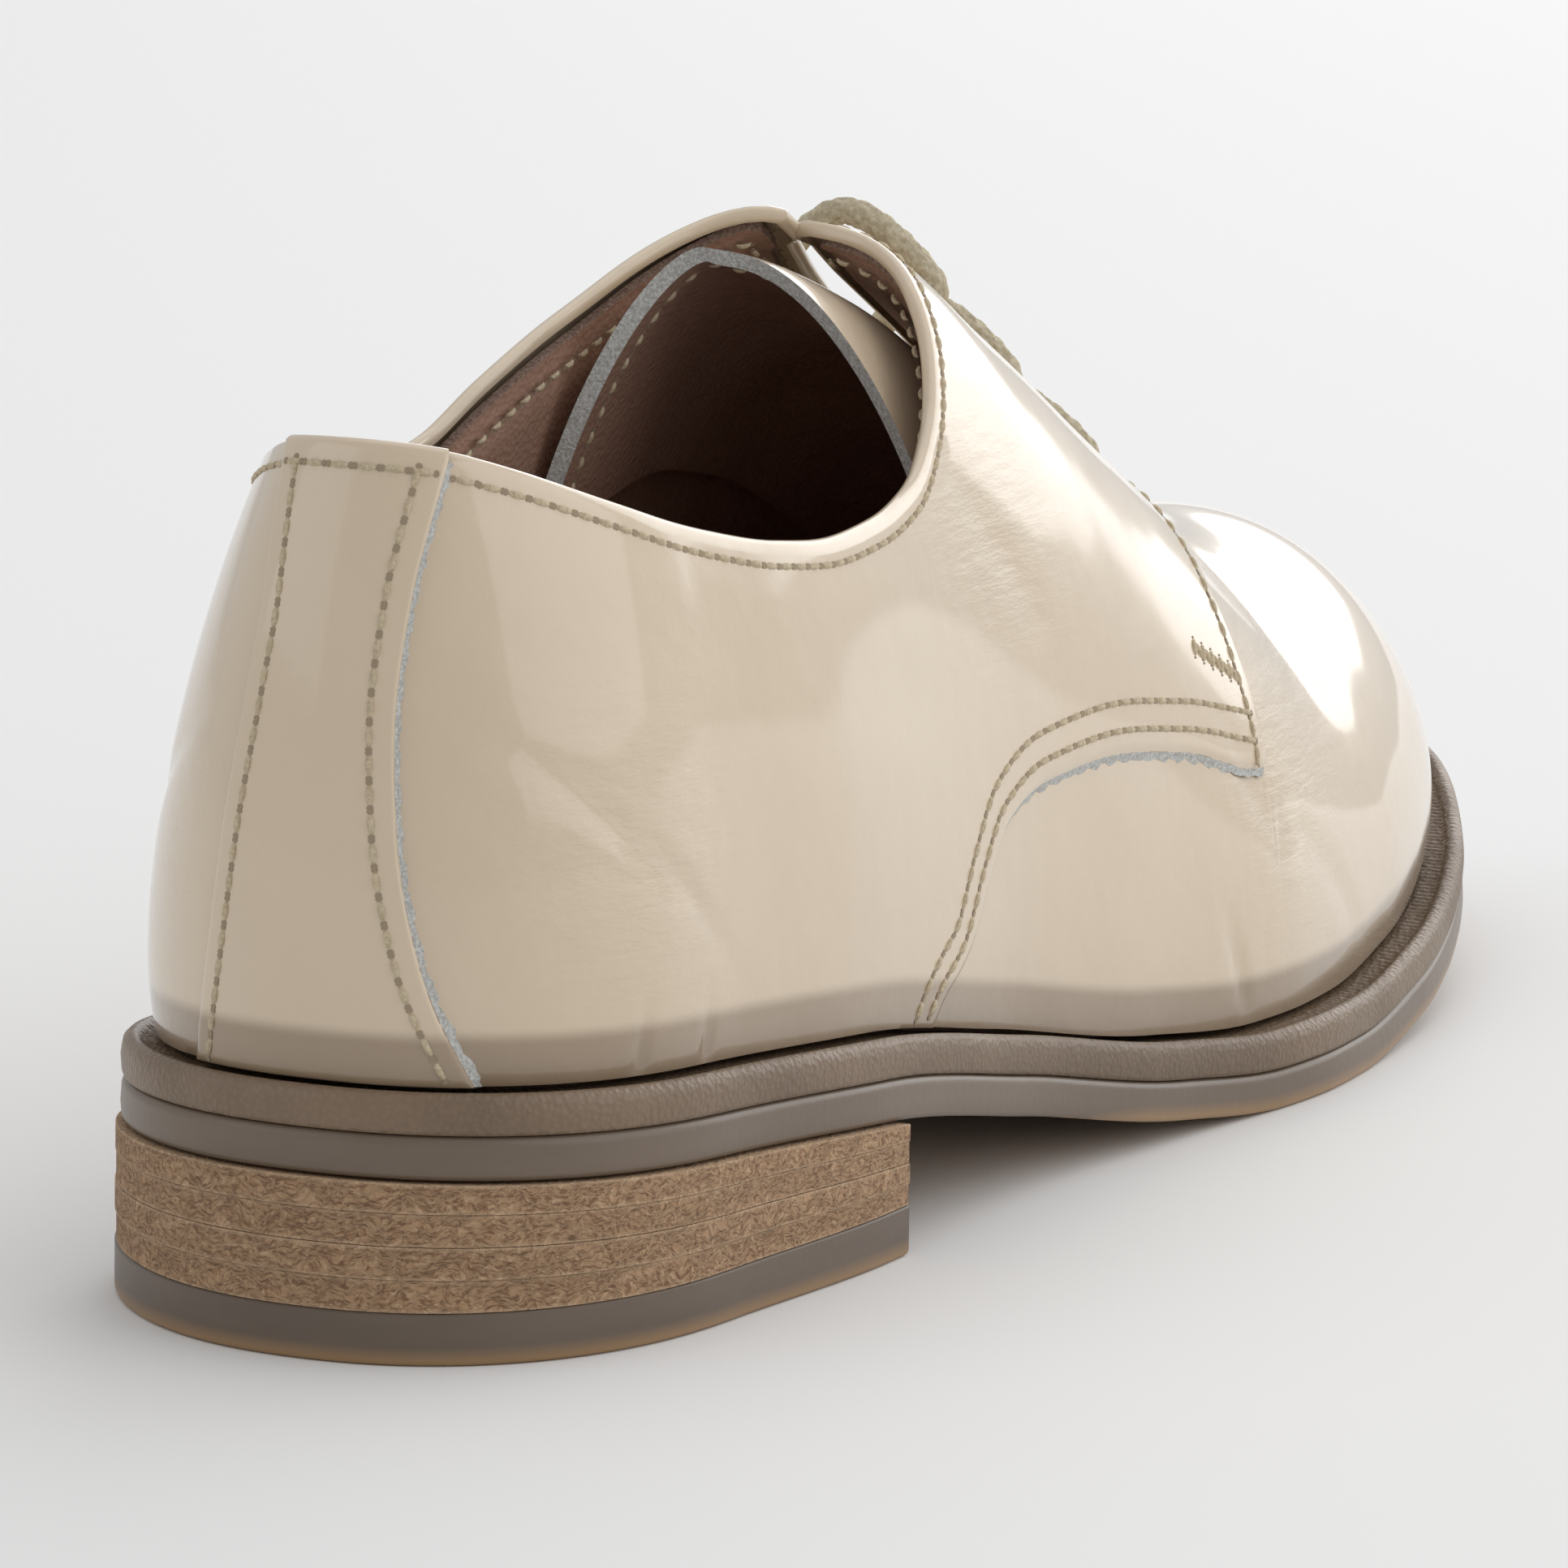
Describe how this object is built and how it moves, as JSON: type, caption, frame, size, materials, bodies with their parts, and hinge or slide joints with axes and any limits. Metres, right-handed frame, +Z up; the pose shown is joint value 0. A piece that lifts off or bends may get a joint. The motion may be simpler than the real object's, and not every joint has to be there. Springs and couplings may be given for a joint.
{
  "type": "derby shoe",
  "caption": "Right-foot derby shoe: open hollow upper with quarters lapped over the vamp, back strap, tongue, lace bars, welt and low stacked heel.",
  "frame": {"origin": "middle of the shoe's box in X and Y, on the plane that its heel and forefoot stand on", "axes": "+Y from heel to toe, +Z up, +X to the wearer's right, the shoe's lateral side"},
  "size_m": [0.0888, 0.2776, 0.0984],
  "materials": {
    "patent_leather": "cream patent leather, glossy and finely creased",
    "lining_leather": "brown lining leather, matt",
    "sole_rubber": "smooth grey-brown rubber, satin",
    "welt_leather": "brown welt leather with a ribbed top",
    "stacked_leather": "tan stacked leather, fibrous cut edges",
    "insole_leather": "brown sock leather, matt",
    "lace_cord": "round braided cotton cord, beige"
  },
  "bodies": {
    "root": {"outsole": "sole_rubber", "welt": "welt_leather", "insole": "insole_leather", "heel_top_piece": "sole_rubber", "heel_lift_1": "stacked_leather", "heel_lift_2": "stacked_leather", "heel_lift_3": "stacked_leather", "heel_lift_4": "stacked_leather", "upper": "patent_leather", "tongue": "lining_leather", "lace_bar_1": "lace_cord", "lace_bar_2": "lace_cord", "lace_bar_3": "lace_cord"}
  },
  "joints": []
}
